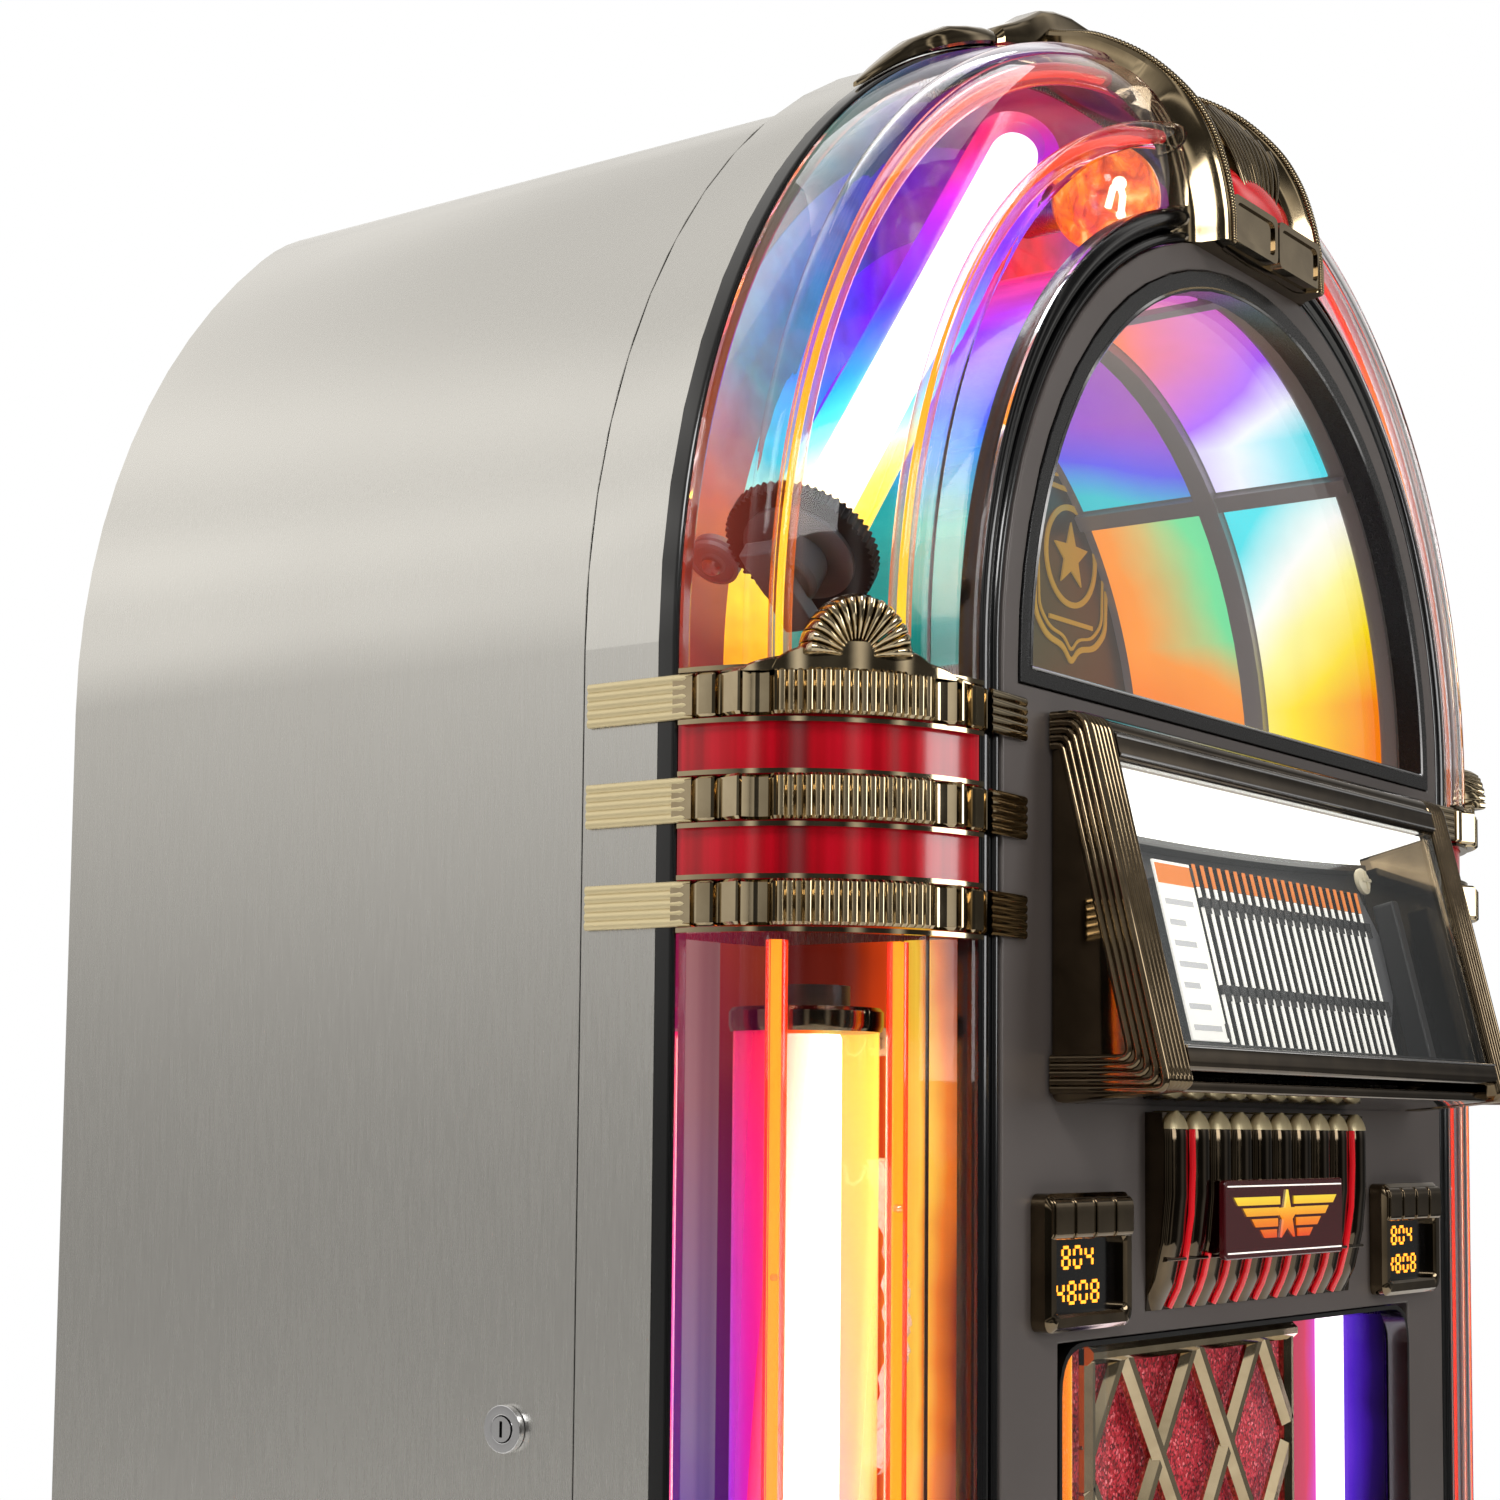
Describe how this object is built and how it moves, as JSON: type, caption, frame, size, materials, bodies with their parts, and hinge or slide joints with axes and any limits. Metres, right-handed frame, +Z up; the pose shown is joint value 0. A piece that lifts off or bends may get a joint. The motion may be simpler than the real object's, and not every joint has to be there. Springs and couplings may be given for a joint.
{
  "type": "jukebox",
  "caption": "Free-standing arched jukebox with a hinged front door, lit bubbling pilasters and arch, domed window, title display, speaker lattice and music mechanism.",
  "frame": {"origin": "on the floor under the centre of the overall bounding box", "axes": "+Z up, the longest extent; +X to the right seen from the front; the front faces -Y"},
  "size_m": [0.8412, 0.622, 1.519],
  "materials": {
    "metal_skin": "brushed satin metal laminate",
    "board": "black stained board",
    "panel_grey": "matte warm charcoal paint",
    "black_gloss": "gloss black moulding",
    "gold_chrome": "champagne gold mirror plating",
    "strap_gold": "satin gold plating",
    "steel": "bright plated steel",
    "clear_cover": "clear moulded acrylic",
    "crimson": "translucent crimson acrylic",
    "bubble_amber": "amber liquid in clear tube",
    "lamp_white": "opal lamp tube, lit",
    "rainbow": "translucent film in several colours",
    "speaker_cloth": "red metallic speaker cloth",
    "paper": "printed paper title leaf",
    "dark_plastic": "black moulded plastic",
    "cream_plastic": "cream moulded roller",
    "rubber": "black rubber",
    "glass": "clear glass"
  },
  "bodies": {
    "cabinet": {"cabinet_shell": "metal_skin", "rear_panel": "board", "plinth": "black_gloss", "mechanism_deck": "board", "cd_player": "dark_plastic", "amplifier": "dark_plastic", "lock_housing": "steel", "power_inlet": "dark_plastic", "cabinet_hinge_leaf": "steel"},
    "door": {"door_frame": "metal_skin", "dome_rear_wall": "board", "speaker_baffle": "board", "front_panel": "panel_grey", "dome_liner": "panel_grey", "outer_trim": "black_gloss", "inner_trim": "black_gloss", "upper_band_left": "gold_chrome", "upper_band_right": "gold_chrome", "middle_band_left": "gold_chrome", "middle_band_right": "gold_chrome", "lower_band_left": "gold_chrome", "lower_band_right": "gold_chrome", "crown": "gold_chrome", "display_housing": "gold_chrome", "fluted_grille": "gold_chrome", "badge_plate": "gold_chrome", "lattice_grille": "gold_chrome", "door_hinge_leaf": "steel", "arch_cover": "clear_cover", "pilaster_cover_left": "clear_cover", "pilaster_cover_right": "clear_cover", "red_section_left": "crimson", "red_section_right": "crimson", "bubble_tubes_left": "bubble_amber", "bubble_tubes_right": "bubble_amber", "lamp_left": "lamp_white", "lamp_right": "lamp_white", "arch_lamp_left": "lamp_white", "arch_lamp_right": "lamp_white", "title_rack": "paper", "credit_display_left": "dark_plastic", "credit_display_right": "dark_plastic", "woofer": "dark_plastic", "window_gasket": "rubber", "window_glass": "glass", "display_glass": "glass"},
    "magazine": {"cd_magazine": "dark_plastic"},
    "arm": {"transfer_arm": "steel"},
    "lock": {"lock_cylinder": "steel"},
    "roller_left": {"rear_roller_left": "rubber"},
    "roller_right": {"rear_roller_right": "rubber"},
    "foot_left": {"levelling_foot_left": "steel"},
    "foot_right": {"levelling_foot_right": "steel"},
    "page": {"title_page": "paper"},
    "sleeve_left": {"colour_sleeve_left": "rainbow"},
    "sleeve_right": {"colour_sleeve_right": "rainbow"},
    "arch_sleeve_left": {"arch_sleeve_left": "rainbow"},
    "arch_sleeve_right": {"arch_sleeve_right": "rainbow"},
    "drive_left": {"drive_roller_left": "cream_plastic"},
    "drive_right": {"drive_roller_right": "cream_plastic"}
  },
  "joints": [
    {"name": "door_swing", "type": "hinge", "parent": "cabinet", "child": "door", "pos_m": [0.4179, -0.077, 0.5], "axis": [0, 0, 1], "range_deg": [0, 110]},
    {"name": "lock_turn", "type": "hinge", "parent": "cabinet", "child": "lock", "pos_m": [-0.4153, -0.034, 0.684], "axis": [-1, 0, 0], "range_deg": [0, 90]},
    {"name": "magazine_spin", "type": "hinge", "parent": "cabinet", "child": "magazine", "pos_m": [-0.07, 0.12, 0.8], "axis": [0, 0, 1], "continuous": true},
    {"name": "arm_swing", "type": "hinge", "parent": "cabinet", "child": "arm", "pos_m": [0.165, 0.06, 0.8], "axis": [0, 0, 1], "range_deg": [-38, 92]},
    {"name": "roller_left_spin", "type": "hinge", "parent": "cabinet", "child": "roller_left", "pos_m": [-0.35, 0.255, 0.03], "axis": [1, 0, 0], "continuous": true},
    {"name": "roller_right_spin", "type": "hinge", "parent": "cabinet", "child": "roller_right", "pos_m": [0.35, 0.255, 0.03], "axis": [1, 0, 0], "continuous": true},
    {"name": "foot_left_turn", "type": "hinge", "parent": "cabinet", "child": "foot_left", "pos_m": [-0.345, -0.17, 0.01], "axis": [0, 0, 1], "continuous": true},
    {"name": "foot_right_turn", "type": "hinge", "parent": "cabinet", "child": "foot_right", "pos_m": [0.345, -0.17, 0.01], "axis": [0, 0, 1], "continuous": true},
    {"name": "page_flip", "type": "hinge", "parent": "door", "child": "page", "pos_m": [-0.131, -0.27241, 0.95212], "axis": [0, 0.2413, 0.9705], "range_deg": [-90, 0]},
    {"name": "sleeve_left_spin", "type": "hinge", "parent": "door", "child": "sleeve_left", "pos_m": [-0.345, -0.165, 0.57], "axis": [0, 0, 1], "continuous": true},
    {"name": "sleeve_right_spin", "type": "hinge", "parent": "door", "child": "sleeve_right", "pos_m": [0.345, -0.165, 0.57], "axis": [0, 0, 1], "continuous": true},
    {"name": "arch_sleeve_left_spin", "type": "hinge", "parent": "door", "child": "arch_sleeve_left", "pos_m": [-0.35452, -0.165, 1.12182], "axis": [0.6157, 0, 0.788], "continuous": true},
    {"name": "drive_left_spin", "type": "hinge", "parent": "door", "child": "drive_left", "pos_m": [-0.35452, -0.1105, 1.12182], "axis": [0.6157, 0, 0.788], "continuous": true},
    {"name": "arch_sleeve_right_spin", "type": "hinge", "parent": "door", "child": "arch_sleeve_right", "pos_m": [0.35452, -0.165, 1.12182], "axis": [-0.6157, 0, 0.788], "continuous": true},
    {"name": "drive_right_spin", "type": "hinge", "parent": "door", "child": "drive_right", "pos_m": [0.35452, -0.1105, 1.12182], "axis": [-0.6157, 0, 0.788], "continuous": true}
  ],
  "couplings": [
    {"joint": "drive_left_spin", "follows": "arch_sleeve_left_spin", "ratio": -2.8571},
    {"joint": "drive_right_spin", "follows": "arch_sleeve_right_spin", "ratio": -2.8571}
  ]
}
